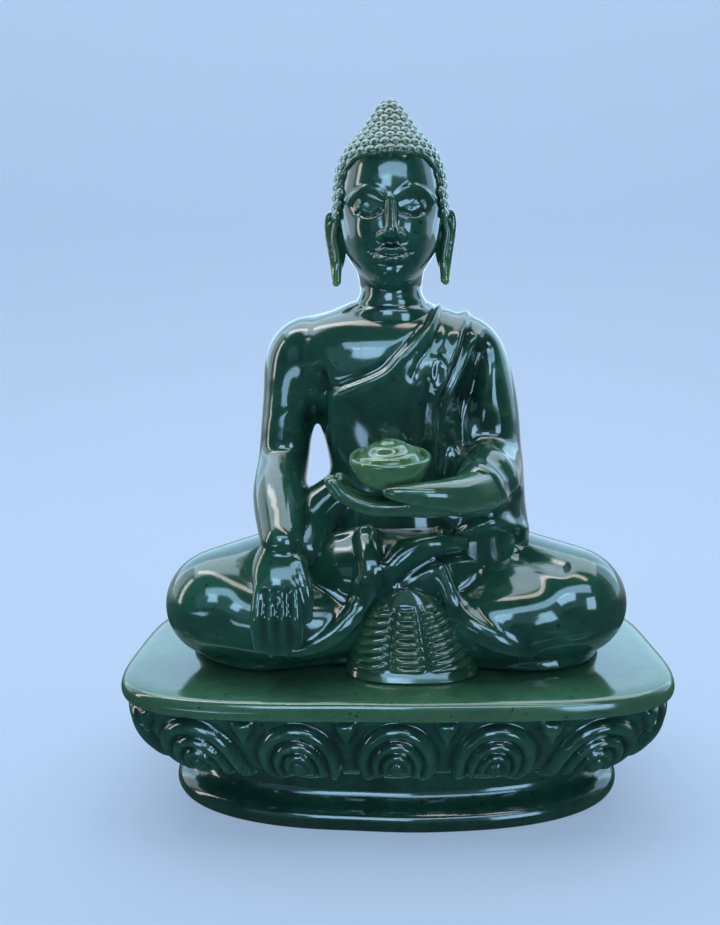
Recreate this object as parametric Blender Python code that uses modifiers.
"""Seated figure in polished green stone on an oval lotus base.

Metres, +Z up. The figure looks along -Y and its right hand is at -X. The origin is the middle of the foot.
Pieces are made in the order of the build, and each one gives way to the pieces that are already there.
"""

import bisect
import math

import bmesh
import bpy
from mathutils import Matrix, Vector

# Fit between neighbouring pieces
GAP = 0.0003
WELD = 0.000002

# Base: an oval plan, stacked foot, lotus band and deck
DECK_EXPONENT = 4.0
FOOT_EXPONENT = 3.0
BODY_EXPONENT = 2.4
PLAN_SEGMENTS = 40
BODY_SEGMENTS = 32
FOOT_HALF_WIDTH = 0.0675
FOOT_HALF_DEPTH = 0.0345
FOOT_HEIGHT = 0.0160
FOOT_LIP_HEIGHT = 0.0070
WAIST_INSET = 0.0070
BAND_HEIGHT = 0.0200
BAND_FOOT_INSET = 0.0055
BAND_TOP_INSET = 0.0045
BAND_EXPONENT = 3.4
BAND_RINGS = 6
DECK_HALF_WIDTH = 0.0790
DECK_HALF_DEPTH = 0.0415
DECK_THICKNESS = 0.0060
DECK_EDGE_ROUND = 0.0015

# Lotus petals: stepped arches that wrap the band
PETAL_COUNT = 14
PETAL_HALF_WIDTH = 0.0122
PETAL_HEIGHT = 0.0175
PETAL_FOOT_GAP = 0.0012
PETAL_HEAD_GAP = 0.0010
PETAL_STEP = 0.0012
PETAL_STEPS = 3
PETAL_RING = 0.0028
PETAL_BURIED = 0.0030
PETAL_ARC_POINTS = 6

# The figure's own measure: heights and thicknesses of the body below are shares of it
TORSO_HEIGHT = 0.1030

# Seat and crossed legs, measured up from the deck
HEM_HALF_WIDTH = 0.0615
HEM_HALF_DEPTH = 0.0300
HEM_HEIGHT = 0.0032
HEM_EDGE = 0.0012
LAP_HALF_WIDTH = 0.0320
LAP_HALF_DEPTH = 0.0290
LAP_HALF_HEIGHT = 0.19 * TORSO_HEIGHT
LAP_BACK = 0.0020
LAP_RISE = 0.185 * TORSO_HEIGHT
HIP_HALF_SPAN = 0.0170
HIP_BACK = 0.0120
HIP_RISE = 0.2 * TORSO_HEIGHT
HIP_RADIUS = 0.165 * TORSO_HEIGHT
KNEE_HALF_SPAN = 0.0504
KNEE_FRONT = 0.0130
KNEE_RISE = 0.17 * TORSO_HEIGHT
KNEE_RADIUS = 0.152 * TORSO_HEIGHT
SHIN_HALF_SPAN = 0.0120
SHIN_FRONT = 0.0205
SHIN_RISE = 0.12 * TORSO_HEIGHT
SHIN_RADIUS = 0.092 * TORSO_HEIGHT

# Robe end between the shins, and the folds that frame it
FAN_TOP_HALF_WIDTH = 0.0055
FAN_ASIDE = 0.0025
FAN_FOOT_HALF_WIDTH = 0.0165
FAN_HEIGHT = 0.209 * TORSO_HEIGHT
FAN_TOP_FRONT = 0.0315
FAN_FOOT_FRONT = 0.0370
FAN_THICKNESS = 0.0075
FAN_RINGS = 5
FOLD_RADIUS = 0.0024

# Torso, neck and head
WAIST_HALF_WIDTH = 0.0190
WAIST_HALF_DEPTH = 0.0155
CHEST_HALF_WIDTH = 0.0275
CHEST_HALF_DEPTH = 0.0172
TORSO_BACK = 0.0035
NECK_RADIUS = 0.0092
NECK_LENGTH = 0.0100
HEAD_HALF_WIDTH = 0.0142
HEAD_HALF_DEPTH = 0.0168
HEAD_HALF_HEIGHT = 0.0172
HEAD_FRONT = 0.0025
JAW_NARROWING = 0.24
HAIR_THICKNESS = 0.0028
HAIRLINE_RISE = 0.0152
HAIR_NAPE_DROP = 0.0100
TOPKNOT_RADIUS = 0.0100
TOPKNOT_HEIGHT = 0.0134
TOPKNOT_TIP_RADIUS = 0.0020
EAR_LENGTH = 0.0205
EAR_RADIUS = 0.0021

# Arms and hands
SHOULDER_HALF_SPAN = 0.0247
SHOULDER_DROP = 0.15 * TORSO_HEIGHT
SHOULDER_RADIUS = 0.102 * TORSO_HEIGHT
UPPER_ARM_DROP = 0.3 * TORSO_HEIGHT
RIGHT_ELBOW_SPLAY = 0.0090
LEFT_ELBOW_SPLAY = 0.0055
ELBOW_RADIUS = 0.0855 * TORSO_HEIGHT
WRIST_RADIUS = 0.0565 * TORSO_HEIGHT
RIGHT_WRIST_INSET = 0.0032
RIGHT_WRIST_FRONT = 0.0300
RIGHT_WRIST_DROP = 0.175 * TORSO_HEIGHT
LEFT_WRIST_INSET = 0.0095
LEFT_WRIST_FRONT = 0.0275
LEFT_WRIST_DROP = 0.053 * TORSO_HEIGHT
PALM_LENGTH = 0.0160
PALM_HALF_WIDTH = 0.0070
PALM_HALF_THICKNESS = 0.0036
FINGER_LENGTH = 0.0165
FINGER_RADIUS = 0.0020
FINGER_COUNT = 4
THUMB_LENGTH = 0.0140
SLEEVE_RADIUS = 0.083 * TORSO_HEIGHT

# Robe edges on the chest
COLLAR_RADIUS = 0.0018
SASH_RADIUS = 0.0030

# Alms bowl
BOWL_RADIUS = 0.0107
BOWL_HEIGHT = 0.0088
BOWL_WALL = 0.0014
BOWL_RINGS = 6
OFFERING_HEIGHT = 0.0044

# Heights that follow from the sizes above
SEAT = FOOT_HEIGHT + BAND_HEIGHT + DECK_THICKNESS
SHOULDER_RISE = TORSO_HEIGHT - SHOULDER_DROP
ELBOW_RISE = SHOULDER_RISE - UPPER_ARM_DROP
HEAD_RISE = TORSO_HEIGHT + NECK_LENGTH + 0.68 * HEAD_HALF_HEIGHT
RIGHT, LEFT = -1, 1

pieces = []


# Scene, collections and materials

def clear_scene():
    for obj in list(bpy.data.objects):
        bpy.data.objects.remove(obj, do_unlink=True)


def new_collection(name):
    collection = bpy.data.collections.new(name)
    bpy.context.scene.collection.children.link(collection)
    return collection


def stone(name, colour, roughness):
    material = bpy.data.materials.new(name)
    material.use_nodes = True
    shader = material.node_tree.nodes["Principled BSDF"]
    shader.inputs["Base Color"].default_value = (*colour, 1.0)
    shader.inputs["Roughness"].default_value = roughness
    shader.inputs["Metallic"].default_value = 0.0
    material.diffuse_color = (*colour, 1.0)
    return material


clear_scene()
parts = new_collection("stone_figurine")
cutters = new_collection("cutters")
deep_stone = stone("deep_green_stone", (0.020, 0.075, 0.045), 0.12)
bright_stone = stone("bright_green_stone", (0.060, 0.160, 0.050), 0.12)


# Mesh helpers

def mesh_from(bm, name):
    bmesh.ops.recalc_face_normals(bm, faces=bm.faces)
    mesh = bpy.data.meshes.new(name)
    bm.to_mesh(mesh)
    bm.free()
    return mesh


def evaluated_mesh(obj):
    bpy.context.view_layer.update()
    graph = bpy.context.evaluated_depsgraph_get()
    return bpy.data.meshes.new_from_object(obj.evaluated_get(graph))


def main_body(mesh):
    """The mesh without the crumbs that a cut can leave beside its largest body."""
    bm = bmesh.new()
    bm.from_mesh(mesh)
    bmesh.ops.remove_doubles(bm, verts=bm.verts, dist=WELD)
    bmesh.ops.dissolve_degenerate(bm, edges=bm.edges, dist=WELD)
    bodies, seen = [], set()
    for start in bm.verts:
        if start in seen:
            continue
        body, front = {start}, [start]
        while front:
            vert = front.pop()
            for edge in vert.link_edges:
                other = edge.other_vert(vert)
                if other not in body:
                    body.add(other)
                    front.append(other)
        seen |= body
        bodies.append(body)
    largest = max(bodies, key=extent)
    bmesh.ops.delete(bm, geom=[v for v in bm.verts if v not in largest], context="VERTS")
    bm.to_mesh(mesh)
    bm.free()
    return mesh


def extent(verts):
    low = [min(v.co[i] for v in verts) for i in range(3)]
    high = [max(v.co[i] for v in verts) for i in range(3)]
    return (Vector(high) - Vector(low)).length


def helper(mesh, name):
    """A hidden object, for a Boolean to read."""
    obj = bpy.data.objects.new(name, mesh)
    cutters.objects.link(obj)
    obj.hide_render = True
    obj.display_type = "WIRE"
    return obj


def combine(mesh, others, operation):
    """The mesh after one Boolean with each of the others."""
    base = helper(mesh, "base")
    tools = []
    for other in others:
        tools.append(helper(other, "tool"))
        modifier = base.modifiers.new("combine", "BOOLEAN")
        modifier.operation = operation
        modifier.object = tools[-1]
        modifier.solver = "EXACT"
    made = evaluated_mesh(base)
    for obj in [base, *tools]:
        bpy.data.objects.remove(obj)
    return made


def grown(mesh, distance):
    """A copy of a mesh with every face moved out by about that distance."""
    bm = bmesh.new()
    bm.from_mesh(mesh)
    bm.normal_update()
    moves = [(v, v.normal * (distance * min(v.calc_shell_factor(), 2.0))) for v in bm.verts]
    for vert, move in moves:
        vert.co += move
    return mesh_from(bm, "grown")


def box_of(mesh):
    corners = [v.co for v in mesh.vertices]
    low = Vector([min(c[i] for c in corners) for i in range(3)])
    high = Vector([max(c[i] for c in corners) for i in range(3)])
    return low, high


def boxes_meet(a, b):
    (low_a, high_a), (low_b, high_b) = a, b
    return all(low_a[i] < high_b[i] + GAP and low_b[i] < high_a[i] + GAP for i in range(3))


def add_piece(name, mesh, anchor, parent, material):
    """Cuts a piece clear of the pieces before it, and places it with its origin at anchor."""
    whole = mesh.copy()
    near = [other for other in pieces if boxes_meet(box_of(whole), box_of(other))]
    if near:
        mesh = combine(mesh, [grown(other, GAP) for other in near], "DIFFERENCE")
        mesh = main_body(mesh)
    mesh.name = name
    pieces.append(whole)
    mesh.materials.clear()
    mesh.materials.append(material)
    mesh.shade_smooth()
    mesh.set_sharp_from_angle(angle=math.radians(40))
    mesh.transform(Matrix.Translation(-Vector(anchor)))
    obj = bpy.data.objects.new(name, mesh)
    parts.objects.link(obj)
    obj.parent = parent
    obj.location = Vector(anchor) - parent.location
    return obj


def empty(name, height):
    obj = bpy.data.objects.new(name, None)
    parts.objects.link(obj)
    obj.location = (0, 0, height)
    return obj


# Shape makers

def plan_point(half_width, half_depth, turn, exponent):
    """A point of an oval plan, fuller than an ellipse. A turn of 0 is +X."""
    c, s = math.cos(turn), math.sin(turn)
    reach = (abs(c) ** exponent + abs(s) ** exponent) ** (-1 / exponent)
    return Vector((half_width * c * reach, half_depth * s * reach, 0))


def loft(bm, outlines):
    """Skins closed outlines of equally many points, in order, into one solid with flat ends."""
    rings = [[bm.verts.new(point) for point in outline] for outline in outlines]
    for lower, upper in zip(rings, rings[1:]):
        for i in range(len(lower)):
            bm.faces.new((lower[i - 1], lower[i], upper[i], upper[i - 1]))
    bm.faces.new(rings[0])
    bm.faces.new(rings[-1])


def stacked_rings(name, rows, exponent, segments=PLAN_SEGMENTS):
    """A closed solid through oval rings: rows of (centre, half width, half depth)."""
    turns = [math.tau * i / segments for i in range(segments)]
    outlines = []
    for centre, wide, deep in rows:
        outlines.append([Vector(centre) + plan_point(wide, deep, turn, exponent) for turn in turns])
    bm = bmesh.new()
    loft(bm, outlines)
    return mesh_from(bm, name)


def ball(name, centre, half_sizes, segments=20, rings=12):
    bm = bmesh.new()
    bmesh.ops.create_uvsphere(bm, u_segments=segments, v_segments=rings, radius=1.0)
    bmesh.ops.scale(bm, vec=half_sizes, verts=bm.verts)
    bmesh.ops.translate(bm, vec=centre, verts=bm.verts)
    return mesh_from(bm, name)


def smooth_stations(stations, steps):
    """Points and radii on a smooth curve through a limb's stations, with a dome drawn out at each end."""
    knots = [(*point, radius) for point, radius in stations]
    knots = [knots[0], *knots, knots[-1]]
    samples = []
    for i in range(1, len(knots) - 2):
        for step in range(steps):
            samples.append(catmull_rom(knots[i - 1:i + 3], step / steps))
    samples.append(knots[-1])
    run = [(Vector(s[:3]), s[3]) for s in samples]
    return end_dome(run[0], run[1])[::-1] + run + end_dome(run[-1], run[-2])


def catmull_rom(knots, t):
    a, b, c, d = knots
    weights = ((-t + 2 * t * t - t ** 3) / 2, (2 - 5 * t * t + 3 * t ** 3) / 2,
               (t + 4 * t * t - 3 * t ** 3) / 2, (t ** 3 - t * t) / 2)
    return [sum(w * k for w, k in zip(weights, column)) for column in zip(a, b, c, d)]


def end_dome(tip, inner):
    (point, radius), (before, _) = tip, inner
    out = (point - before).normalized()
    turns = [math.radians(angle) for angle in (40, 70)]
    return [(point + out * radius * math.sin(t), radius * math.cos(t)) for t in turns]


def limb(name, stations, sides=2, steps=3):
    """A round-ended tapering tube through stations of (point, radius)."""
    curve = bpy.data.curves.new(name, "CURVE")
    curve.dimensions = "3D"
    curve.bevel_depth = 1.0
    curve.bevel_resolution = sides
    curve.use_fill_caps = True
    run = smooth_stations(stations, steps)
    spline = curve.splines.new("POLY")
    spline.points.add(len(run) - 1)
    for knot, (point, radius) in zip(spline.points, run):
        knot.co = (*point, 1.0)
        knot.radius = radius
    obj = bpy.data.objects.new(name, curve)
    cutters.objects.link(obj)
    tube = evaluated_mesh(obj)
    bpy.data.objects.remove(obj)
    bm = bmesh.new()
    bm.from_mesh(tube)
    bmesh.ops.remove_doubles(bm, verts=bm.verts, dist=WELD)
    return mesh_from(bm, name)


def turned(name, profile, steps=16):
    """A solid of revolution about Z through a profile of (radius, height), top to bottom."""
    mesh = bpy.data.meshes.new(name)
    mesh.from_pydata([(r, 0, z) for r, z in profile], [(i, i + 1) for i in range(len(profile) - 1)], [])
    obj = bpy.data.objects.new(name, mesh)
    cutters.objects.link(obj)
    screw = obj.modifiers.new("turn", "SCREW")
    screw.steps = screw.render_steps = steps
    screw.use_merge_vertices = True
    screw.merge_threshold = 0.00001
    made = evaluated_mesh(obj)
    bpy.data.objects.remove(obj)
    bm = bmesh.new()
    bm.from_mesh(made)
    bmesh.ops.remove_doubles(bm, verts=bm.verts, dist=WELD)
    return mesh_from(bm, name)


def moved(mesh, place):
    mesh.transform(Matrix.Translation(Vector(place)))
    return mesh


def seat_point(side, x, front, rise):
    """A point beside the figure's middle plane, in front of the origin and above the deck."""
    return Vector((side * x, -front, SEAT + rise))


# Base

def oval(z, half_width, half_depth, inset=0.0):
    return ((0, 0, z), half_width - inset, half_depth - inset)


def make_foot(parent):
    lip = FOOT_LIP_HEIGHT
    rows = [(0.0, 0.22 * lip), (0.18 * lip, 0.05 * lip), (0.45 * lip, 0.0), (0.75 * lip, 0.10 * lip)]
    rows += [(lip, 0.36 * lip), (lip + 0.30 * (FOOT_HEIGHT - lip), 0.80 * WAIST_INSET)]
    rows += [(lip + 0.70 * (FOOT_HEIGHT - lip), WAIST_INSET), (FOOT_HEIGHT - GAP, WAIST_INSET)]
    ovals = [oval(z, FOOT_HALF_WIDTH, FOOT_HALF_DEPTH, inset) for z, inset in rows]
    mesh = stacked_rings("foot_plinth", ovals, FOOT_EXPONENT)
    add_piece("foot_plinth", mesh, (0, 0, 0), parent, deep_stone)


def band_row(share):
    """Height and half sizes of the lotus band at a share of its height: a bowl's swelling side."""
    swell = math.sin(share * math.pi / 2)
    low = (FOOT_HALF_WIDTH - BAND_FOOT_INSET, FOOT_HALF_DEPTH - BAND_FOOT_INSET)
    high = (DECK_HALF_WIDTH - BAND_TOP_INSET, DECK_HALF_DEPTH - BAND_TOP_INSET)
    sizes = [a + (b - a) * swell for a, b in zip(low, high)]
    return FOOT_HEIGHT + share * (BAND_HEIGHT - GAP), *sizes


def make_band(parent):
    rows = [oval(*band_row(i / BAND_RINGS)) for i in range(BAND_RINGS + 1)]
    mesh = stacked_rings("lotus_band", rows, BAND_EXPONENT)
    add_piece("lotus_band", mesh, (0, 0, FOOT_HEIGHT), parent, deep_stone)


def make_deck(parent):
    low, edge = FOOT_HEIGHT + BAND_HEIGHT, DECK_EDGE_ROUND
    rows = [(low, edge), (low + 0.4 * edge, 0.3 * edge), (low + edge, 0.0)]
    rows += [(SEAT - edge, 0.0), (SEAT - 0.4 * edge, 0.3 * edge), (SEAT, edge)]
    ovals = [oval(z, DECK_HALF_WIDTH, DECK_HALF_DEPTH, inset) for z, inset in rows]
    mesh = stacked_rings("deck", ovals, DECK_EXPONENT)
    add_piece("deck", mesh, (0, 0, low), parent, deep_stone)


def band_plan(share, turn):
    """The band's plan point at a share of its height."""
    height, half_width, half_depth = band_row(share)
    return plan_point(half_width, half_depth, turn, BAND_EXPONENT) + Vector((0, 0, height))


def band_point(turn, height):
    """A point on the lotus band at a height, and the outward direction there."""
    share = min(max((height - FOOT_HEIGHT) / BAND_HEIGHT, 0.0), 1.0)
    step = 0.01
    along = band_plan(share, turn + step) - band_plan(share, turn - step)
    rise = band_plan(min(share + step, 1.0), turn) - band_plan(max(share - step, 0.0), turn)
    return band_plan(share, turn), along.cross(rise).normalized()


def band_walk():
    """Plan turns round the band from the middle of the front, and the distance walked to each."""
    fine = 1440
    turns = [math.tau * i / fine - math.pi / 2 for i in range(-fine // 4, fine + fine // 4)]
    points = [band_plan(0.5, turn) for turn in turns]
    walked = [0.0]
    for a, b in zip(points, points[1:]):
        walked.append(walked[-1] + (b - a).length)
    start = walked[fine // 4]
    return turns, [w - start for w in walked], walked[fine + fine // 4 - 1] - start


def turn_at(walk, distance):
    turns, walked, _ = walk
    i = bisect.bisect_left(walked, distance)
    mix = (distance - walked[i - 1]) / (walked[i] - walked[i - 1])
    return turns[i - 1] + mix * (turns[i] - turns[i - 1])


def petal_arch(step, height):
    """The outline of one of the nested arches, at a height out from the band."""
    half_width = PETAL_HALF_WIDTH - step * PETAL_RING
    foot = 0.4 * step * PETAL_STEP
    crown = PETAL_HEIGHT - step * PETAL_RING
    points = [Vector((half_width, foot, height))]
    for i in range(PETAL_ARC_POINTS + 1):
        turn = math.pi * i / PETAL_ARC_POINTS
        rise = crown - half_width * (1 - math.sin(turn))
        points.append(Vector((half_width * math.cos(turn), rise, height)))
    return points + [Vector((-half_width, foot, height))]


def flat_petal():
    """One petal laid flat: X across, Y up the band, Z out. Nested arches step out to a boss."""
    outlines = [petal_arch(0, -PETAL_BURIED)]
    for step in range(PETAL_STEPS + 1):
        if step:
            outlines.append(petal_arch(step, step * PETAL_STEP))
        outlines.append(petal_arch(step, (step + 1) * PETAL_STEP))
    bm = bmesh.new()
    loft(bm, outlines)
    return bm


def make_petals(parent):
    walk = band_walk()
    foot = FOOT_HEIGHT + PETAL_FOOT_GAP
    stretch = (BAND_HEIGHT - PETAL_FOOT_GAP - PETAL_HEAD_GAP) / PETAL_HEIGHT
    for number in range(PETAL_COUNT):
        middle = walk[2] * number / PETAL_COUNT
        bm = flat_petal()
        for vert in bm.verts:
            point, out = band_point(turn_at(walk, middle + vert.co.x), foot + vert.co.y * stretch)
            vert.co = point + out * vert.co.z
        bmesh.ops.triangulate(bm, faces=bm.faces)
        name = f"petal_{number + 1:02d}"
        anchor, _ = band_point(turn_at(walk, middle), foot)
        add_piece(name, mesh_from(bm, name), anchor, parent, deep_stone)


# Crossed legs and robe

def make_hem(parent):
    rows = [(GAP, 0.0), (HEM_HEIGHT - HEM_EDGE, 0.3 * HEM_EDGE), (HEM_HEIGHT, HEM_EDGE)]
    ovals = [oval(SEAT + z, HEM_HALF_WIDTH, HEM_HALF_DEPTH, inset) for z, inset in rows]
    mesh = stacked_rings("robe_hem", ovals, FOOT_EXPONENT)
    add_piece("robe_hem", mesh, (0, 0, SEAT), parent, deep_stone)


def make_lap(parent):
    centre = seat_point(LEFT, 0, -LAP_BACK, LAP_RISE)
    mesh = ball("lap", centre, (LAP_HALF_WIDTH, LAP_HALF_DEPTH, LAP_HALF_HEIGHT), 24, 14)
    add_piece("lap", mesh, centre, parent, deep_stone)


def make_leg(name, side, parent):
    hip = seat_point(side, HIP_HALF_SPAN, -HIP_BACK, HIP_RISE)
    knee = seat_point(side, KNEE_HALF_SPAN, KNEE_FRONT, KNEE_RISE)
    shin = seat_point(side, SHIN_HALF_SPAN, SHIN_FRONT, SHIN_RISE)
    thigh = [(hip, HIP_RADIUS), (hip.lerp(knee, 0.55), 0.95 * HIP_RADIUS), (knee, KNEE_RADIUS)]
    calf = [(knee, 0.9 * KNEE_RADIUS), (knee.lerp(shin, 0.5), 1.15 * SHIN_RADIUS), (shin, SHIN_RADIUS)]
    mesh = combine(limb("thigh", thigh, 5), [limb("calf", calf, 4)], "UNION")
    add_piece(name, mesh, knee, parent, deep_stone)


def make_fan(parent):
    """The pleated robe end: rings that widen and lean forward towards the deck."""
    top, foot = HEM_HEIGHT + FAN_HEIGHT, HEM_HEIGHT + GAP
    rows = []
    for i in range(FAN_RINGS + 1):
        share = i / FAN_RINGS
        half_width = FAN_FOOT_HALF_WIDTH + (FAN_TOP_HALF_WIDTH - FAN_FOOT_HALF_WIDTH) * share ** 0.8
        front = FAN_FOOT_FRONT + (FAN_TOP_FRONT - FAN_FOOT_FRONT) * share ** 0.6
        deep = FAN_THICKNESS * (1 - 0.35 * share)
        centre = seat_point(LEFT, FAN_ASIDE, front - deep, foot + (top - foot) * share)
        rows.append((centre, half_width, deep))
    mesh = stacked_rings("robe_fan", rows, BODY_EXPONENT, BODY_SEGMENTS)
    add_piece("robe_fan", mesh, rows[0][0], parent, deep_stone)


def make_fold(name, side, parent):
    """The rolled robe edge beside the fan, from the lap down the shin and out along the hem."""
    top, beside = HEM_HEIGHT + FAN_HEIGHT, FAN_FOOT_HALF_WIDTH
    front = SHIN_FRONT + SHIN_RADIUS
    foot = HEM_HEIGHT + FOLD_RADIUS
    spots = [(0.58, -0.83, 1.35 * top, 1.0), (0.72, 1.46, 0.95 * top, 1.0)]
    spots += [(1.05, 1.88, 0.48 * top, 1.0), (1.80, 1.46, foot, 0.8)]
    stations = []
    for across, proud, rise, thick in spots:
        point = seat_point(side, across * beside, front + proud * FOLD_RADIUS, rise)
        stations.append((point + Vector((FAN_ASIDE, 0, 0)), thick * FOLD_RADIUS))
    add_piece(name, limb(name, stations), stations[0][0], parent, deep_stone)


# Torso and head

def torso_rows():
    """Rings up the torso, from inside the lap to the neck: waist, chest, then sloping shoulders."""
    waist, chest = (WAIST_HALF_WIDTH, WAIST_HALF_DEPTH), (CHEST_HALF_WIDTH, CHEST_HALF_DEPTH)
    top = (1.20 * NECK_RADIUS, 1.0 * NECK_RADIUS)
    sizes = [(0.14, waist, 1.14), (0.34, waist, 1.06), (0.47, waist, 1.0), (0.59, waist, 1.07)]
    sizes += [(0.70, chest, 0.90), (0.79, chest, 1.0), (0.87, chest, 0.98), (0.935, chest, 0.84)]
    sizes += [(0.975, chest, 0.60), (1.0, top, 1.0)]
    rows = []
    for share, (wide, deep), k in sizes:
        rows.append(((0, TORSO_BACK, SEAT + TORSO_HEIGHT * share), k * wide, k * deep))
    return rows


def make_torso(parent):
    mesh = stacked_rings("torso", torso_rows(), BODY_EXPONENT, BODY_SEGMENTS)
    add_piece("torso", mesh, (0, TORSO_BACK, SEAT), parent, deep_stone)


def chest_point(side, x, share, proud):
    """A point on the torso's front at a share of its height, standing proud of it."""
    rows = torso_rows()
    shares = [(c[2] - SEAT) / TORSO_HEIGHT for c, _, _ in rows]
    i = max(k for k in range(len(rows) - 1) if shares[k] <= share)
    mix = (share - shares[i]) / (shares[i + 1] - shares[i])
    wide, deep = (a + (b - a) * mix for a, b in zip(rows[i][1:], rows[i + 1][1:]))
    depth = deep * (1 - min(x / wide, 1.0) ** BODY_EXPONENT) ** (1 / BODY_EXPONENT)
    return Vector((side * x, TORSO_BACK - depth - proud, SEAT + share * TORSO_HEIGHT))


def make_collar(parent):
    """The robe's edge, from the left shoulder across the chest to the right armpit."""
    spots = [(LEFT, 0.50, 0.962), (LEFT, 0.24, 0.885), (RIGHT, 0.10, 0.810), (RIGHT, 0.66, 0.745)]
    stations = []
    for side, share_across, share in spots:
        point = chest_point(side, share_across * CHEST_HALF_WIDTH, share, 0.35 * COLLAR_RADIUS)
        stations.append((point, COLLAR_RADIUS))
    add_piece("robe_collar", limb("robe_collar", stations), stations[0][0], parent, deep_stone)


def make_sash(parent):
    """The folded cloth over the left shoulder."""
    spots = [(0.66, 0.955), (0.58, 0.860), (0.44, 0.755), (0.36, 0.660)]
    stations = []
    for share_across, share in spots:
        point = chest_point(LEFT, share_across * CHEST_HALF_WIDTH, share, 0.05 * SASH_RADIUS)
        stations.append((point, SASH_RADIUS))
    add_piece("robe_sash", limb("robe_sash", stations), stations[0][0], parent, deep_stone)


def head_centre():
    return seat_point(LEFT, 0, HEAD_FRONT, HEAD_RISE)


def egg(name, grow):
    """The head's egg shape, narrower towards the chin and grown evenly by a thickness."""
    bm = bmesh.new()
    bmesh.ops.create_uvsphere(bm, u_segments=20, v_segments=12, radius=1.0)
    for vert in bm.verts:
        x, y, z = vert.co
        narrow = 1 - JAW_NARROWING * max(-z, 0.0) ** 1.5
        vert.co = (x * narrow * (HEAD_HALF_WIDTH + grow), y * narrow * (HEAD_HALF_DEPTH + grow),
                   z * (HEAD_HALF_HEIGHT + grow))
    bmesh.ops.translate(bm, vec=head_centre(), verts=bm.verts)
    return mesh_from(bm, name)


def make_head(parent):
    add_piece("head", egg("head", 0.0), head_centre(), parent, deep_stone)


def make_neck(parent):
    low = TORSO_HEIGHT - 0.35 * NECK_LENGTH
    high = TORSO_HEIGHT + 1.6 * NECK_LENGTH
    profile = [(0, high), (NECK_RADIUS, high), (NECK_RADIUS, low + 0.9 * NECK_LENGTH)]
    profile += [(1.12 * NECK_RADIUS, low), (0, low)]
    mesh = moved(turned("neck", profile), (0, 0, SEAT))
    add_piece("neck", mesh, (0, 0, SEAT + low), parent, deep_stone)


def make_hair(parent):
    """The close cap of hair: a grown egg, kept above the sloping hairline."""
    centre = head_centre()
    cap = egg("hair_cap", HAIR_THICKNESS)
    bm = bmesh.new()
    bm.from_mesh(cap)
    front = centre + Vector((0, -HEAD_HALF_DEPTH, HAIRLINE_RISE))
    back = centre + Vector((0, HEAD_HALF_DEPTH, -HAIR_NAPE_DROP))
    normal = Vector((1, 0, 0)).cross(back - front)
    geom = bm.verts[:] + bm.edges[:] + bm.faces[:]
    cut = bmesh.ops.bisect_plane(bm, geom=geom, plane_co=front, plane_no=normal, clear_inner=True)
    rim = [g for g in cut["geom_cut"] if isinstance(g, bmesh.types.BMEdge)]
    bmesh.ops.contextual_create(bm, geom=rim)
    add_piece("hair_cap", mesh_from(bm, "hair_cap"), centre, parent, deep_stone)


def make_topknot(parent):
    """The crown of the head: a cone with a blunt tip."""
    base = HEAD_HALF_HEIGHT + HAIR_THICKNESS
    tip = base + TOPKNOT_HEIGHT
    profile = [(0, tip), (TOPKNOT_TIP_RADIUS, tip - 0.5 * TOPKNOT_TIP_RADIUS)]
    profile += [(0.40 * TOPKNOT_RADIUS, tip - 0.33 * TOPKNOT_HEIGHT)]
    profile += [(0.70 * TOPKNOT_RADIUS, tip - 0.74 * TOPKNOT_HEIGHT)]
    profile += [(TOPKNOT_RADIUS, base), (1.15 * TOPKNOT_RADIUS, base - 0.30 * TOPKNOT_HEIGHT)]
    profile += [(0, base - 0.30 * TOPKNOT_HEIGHT)]
    centre = head_centre() + Vector((0, 0.10 * HEAD_HALF_DEPTH, 0))
    add_piece("topknot", moved(turned("topknot", profile), centre), centre, parent, deep_stone)


def make_ear(name, side, parent):
    """A long ear that stands off the jaw, with a heavy lobe."""
    reach = HEAD_HALF_WIDTH + 0.7 * HAIR_THICKNESS
    top = head_centre() + Vector((side * reach, 0.18 * HEAD_HALF_DEPTH, 0.20 * EAR_LENGTH))
    spots = [(0.0, 0.0, 0.0, 0.75), (0.4, 0.2, 0.25, 1.15)]
    spots += [(-0.1, 0.0, 0.60, 0.95), (-0.75, -0.3, 0.92, 0.80)]
    stations = []
    for out, back, drop, thick in spots:
        point = top + Vector((side * out * EAR_RADIUS, back * EAR_RADIUS, -drop * EAR_LENGTH))
        stations.append((point, thick * EAR_RADIUS))
    add_piece(name, limb(name, stations), top, parent, bright_stone)


# Arms, hands and bowl

def shoulder(side):
    return seat_point(side, SHOULDER_HALF_SPAN, -TORSO_BACK, SHOULDER_RISE)


def elbow(side):
    splay = RIGHT_ELBOW_SPLAY if side == RIGHT else LEFT_ELBOW_SPLAY
    return seat_point(side, SHOULDER_HALF_SPAN + splay, -TORSO_BACK, ELBOW_RISE)


def right_wrist():
    return elbow(RIGHT) + Vector((RIGHT_WRIST_INSET, -RIGHT_WRIST_FRONT, -RIGHT_WRIST_DROP))


def left_wrist():
    return elbow(LEFT) + Vector((-LEFT_WRIST_INSET, -LEFT_WRIST_FRONT, -LEFT_WRIST_DROP))


def make_upper_arm(name, side, parent):
    top, low = shoulder(side), elbow(side)
    stations = [(top, SHOULDER_RADIUS), (top.lerp(low, 0.5), 0.5 * (SHOULDER_RADIUS + ELBOW_RADIUS)),
                (low, ELBOW_RADIUS)]
    add_piece(name, limb(name, stations, 4), top, parent, deep_stone)


def make_forearm(name, side, wrist, parent):
    start = elbow(side)
    stations = [(start, 0.98 * ELBOW_RADIUS), (start.lerp(wrist, 0.5), 0.5 * (ELBOW_RADIUS + WRIST_RADIUS)),
                (wrist, WRIST_RADIUS)]
    add_piece(name, limb(name, stations, 4), start, parent, deep_stone)


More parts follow.
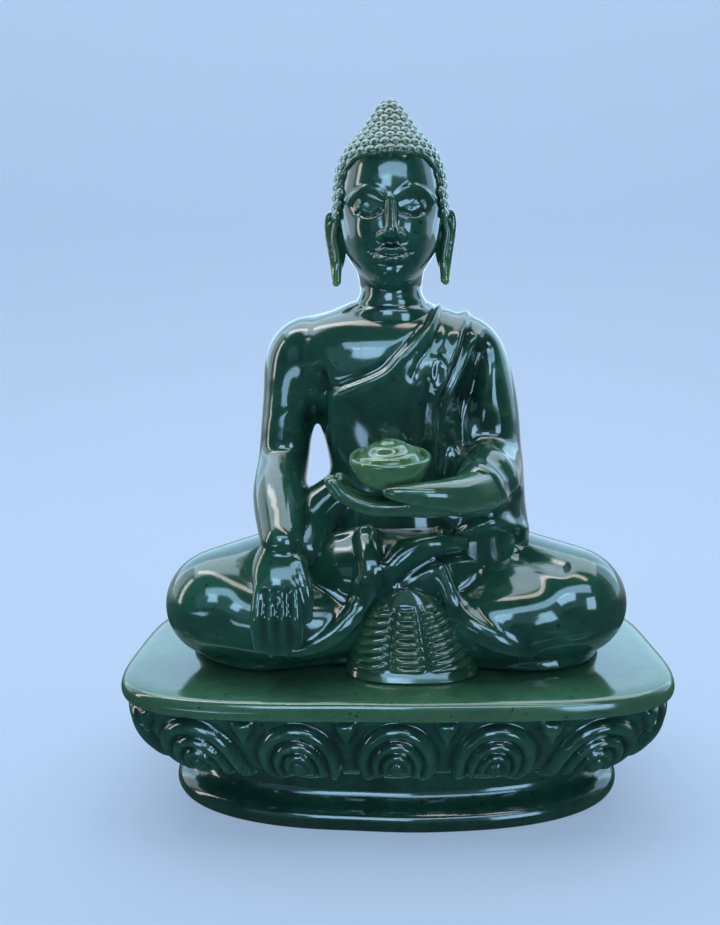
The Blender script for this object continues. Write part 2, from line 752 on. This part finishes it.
def make_sleeve(parent):
    """The robe that hangs from the left forearm to the lap."""
    start = elbow(LEFT)
    top = start + Vector((0, -0.29 * SLEEVE_RADIUS, 0))
    low = start + Vector((0.02 * SLEEVE_RADIUS, -0.55 * SLEEVE_RADIUS, -0.55 * UPPER_ARM_DROP))
    stations = [(top, SLEEVE_RADIUS), (low, SLEEVE_RADIUS)]
    add_piece("left_sleeve", limb("left_sleeve", stations, 4), stations[0][0], parent, deep_stone)


def finger_offsets():
    spread = PALM_HALF_WIDTH - FINGER_RADIUS
    return [spread * (2 * i / (FINGER_COUNT - 1) - 1) for i in range(FINGER_COUNT)]


def hand_mesh(name, palm_turn, stations_of, thumb):
    """A palm with its fingers and thumb joined on. palm_turn places the palm's block."""
    palm = ball("palm", (0, 0, 0), (PALM_HALF_WIDTH, 0.62 * PALM_LENGTH, PALM_HALF_THICKNESS), 16, 10)
    palm.transform(palm_turn)
    fingers = [limb("finger", stations_of(offset), 1, 2) for offset in finger_offsets()]
    return combine(palm, [*fingers, limb("thumb", thumb, 1, 2)], "UNION")


def make_right_hand(parent):
    """Draped over the right shin, fingers pointing to the ground."""
    wrist = right_wrist()
    knuckle = wrist + Vector((0.0, -0.62 * PALM_LENGTH, -0.82 * PALM_LENGTH))
    middle = wrist.lerp(knuckle, 0.52)
    down = (knuckle - wrist).normalized()
    out = down.cross(Vector((1, 0, 0))).normalized()
    axes = Matrix(((1, down.x, out.x), (0, down.y, out.y), (0, down.z, out.z)))
    turn = Matrix.Translation(middle) @ axes.to_4x4()

    def stations_of(offset):
        root = knuckle + Vector((offset, 0.6 * FINGER_RADIUS, 1.1 * FINGER_RADIUS))
        shorter = 1 - 0.10 * abs(offset) / PALM_HALF_WIDTH
        bend = root + Vector((0, -FINGER_RADIUS, -0.45 * FINGER_LENGTH))
        tip = root + Vector((0, -0.7 * FINGER_RADIUS, -shorter * FINGER_LENGTH))
        return [(root, 1.05 * FINGER_RADIUS), (bend, FINGER_RADIUS), (tip, 0.8 * FINGER_RADIUS)]

    base = wrist + Vector((0.85 * PALM_HALF_WIDTH, -0.30 * PALM_LENGTH, -0.30 * PALM_LENGTH))
    bend = base + Vector((1.2 * FINGER_RADIUS, -2.0 * FINGER_RADIUS, -0.50 * THUMB_LENGTH))
    tip = base + Vector((1.3 * FINGER_RADIUS, -2.5 * FINGER_RADIUS, -THUMB_LENGTH))
    thumb = [(base, 1.15 * FINGER_RADIUS), (bend, FINGER_RADIUS), (tip, 0.75 * FINGER_RADIUS)]
    mesh = hand_mesh("right_hand", turn, stations_of, thumb)
    add_piece("right_hand", mesh, wrist, parent, deep_stone)


def left_palm_centre():
    return left_wrist() + Vector((-0.80 * PALM_LENGTH, -0.43 * PALM_HALF_WIDTH, -0.5 * PALM_HALF_THICKNESS))


def make_left_hand(parent):
    """Palm up under the bowl, fingers pointing to the figure's right and curling up."""
    wrist = left_wrist()
    middle = left_palm_centre()
    turn = Matrix.Translation(middle) @ Matrix(((0, -1, 0), (1, 0, 0), (0, 0, 1))).to_4x4()

    def stations_of(offset):
        root = middle + Vector((-0.50 * PALM_LENGTH, offset, -0.2 * FINGER_RADIUS))
        bend = root + Vector((-0.55 * FINGER_LENGTH, 0, 0.3 * FINGER_RADIUS))
        tip = root + Vector((-0.98 * FINGER_LENGTH, 0.10 * offset, 3.3 * FINGER_RADIUS))
        return [(root, 1.1 * FINGER_RADIUS), (bend, FINGER_RADIUS), (tip, 0.75 * FINGER_RADIUS)]

    base = wrist + Vector((-0.15 * PALM_LENGTH, -0.75 * PALM_HALF_WIDTH, 0.9 * FINGER_RADIUS))
    reach = 1.45 * THUMB_LENGTH
    bend = base + Vector((-0.5 * reach, -2.2 * FINGER_RADIUS, 0.7 * FINGER_RADIUS))
    tip = base + Vector((-reach, -2.6 * FINGER_RADIUS, FINGER_RADIUS))
    thumb = [(base, 1.5 * FINGER_RADIUS), (bend, 1.3 * FINGER_RADIUS), (tip, 0.8 * FINGER_RADIUS)]
    mesh = hand_mesh("left_hand", turn, stations_of, thumb)
    add_piece("left_hand", mesh, wrist, parent, bright_stone)


def bowl_foot():
    on_palm = Vector((-0.55 * PALM_LENGTH, 0.14 * PALM_HALF_WIDTH, 1.1 * PALM_HALF_THICKNESS))
    return left_palm_centre() + on_palm


def make_bowl(parent):
    rim, wall = BOWL_HEIGHT, BOWL_WALL
    profile = [(0, rim - wall), (BOWL_RADIUS - wall, rim - wall)]
    profile += [(BOWL_RADIUS - 0.8 * wall, rim), (BOWL_RADIUS, rim)]
    for i in range(1, BOWL_RINGS + 1):
        turn = math.pi / 2 * i / BOWL_RINGS
        profile.append((BOWL_RADIUS * (0.32 + 0.68 * math.cos(turn)), rim * (1 - math.sin(turn))))
    profile.append((0, 0))
    mesh = moved(turned("alms_bowl", profile), bowl_foot())
    add_piece("alms_bowl", mesh, bowl_foot(), parent, bright_stone)


def make_offering(parent):
    """The heaped offering: a low dome of three rounded terraces."""
    low = BOWL_HEIGHT - BOWL_WALL + 1.4 * GAP
    radius = BOWL_RADIUS - BOWL_WALL - 1.6 * GAP
    step = OFFERING_HEIGHT / 3
    profile = [(0, low + OFFERING_HEIGHT + BOWL_WALL)]
    for i in range(3):
        outer = radius * (0.42 + 0.26 * i)
        high = low + BOWL_WALL + OFFERING_HEIGHT - i * step
        profile += [(0.8 * outer, high - 0.25 * step), (outer, high - step)]
    profile += [(radius, low), (0, low)]
    mesh = moved(turned("bowl_offering", profile), bowl_foot())
    add_piece("bowl_offering", mesh, bowl_foot() + Vector((0, 0, low)), parent, bright_stone)


def main():
    ground = empty("ground", 0.0)
    seat = empty("seat", SEAT)
    make_foot(ground)
    make_band(ground)
    make_deck(ground)
    make_petals(ground)
    make_hem(seat)
    make_lap(seat)
    make_leg("right_leg", RIGHT, seat)
    make_leg("left_leg", LEFT, seat)
    make_fan(seat)
    make_fold("right_robe_fold", RIGHT, seat)
    make_fold("left_robe_fold", LEFT, seat)
    make_torso(seat)
    make_collar(seat)
    make_sash(seat)
    make_head(seat)
    make_neck(seat)
    make_hair(seat)
    make_topknot(seat)
    make_ear("right_ear", RIGHT, seat)
    make_ear("left_ear", LEFT, seat)
    make_upper_arm("right_upper_arm", RIGHT, seat)
    make_upper_arm("left_upper_arm", LEFT, seat)
    make_forearm("right_forearm", RIGHT, right_wrist(), seat)
    make_forearm("left_forearm", LEFT, left_wrist(), seat)
    make_sleeve(seat)
    make_right_hand(seat)
    make_left_hand(seat)
    make_bowl(seat)
    make_offering(seat)


main()
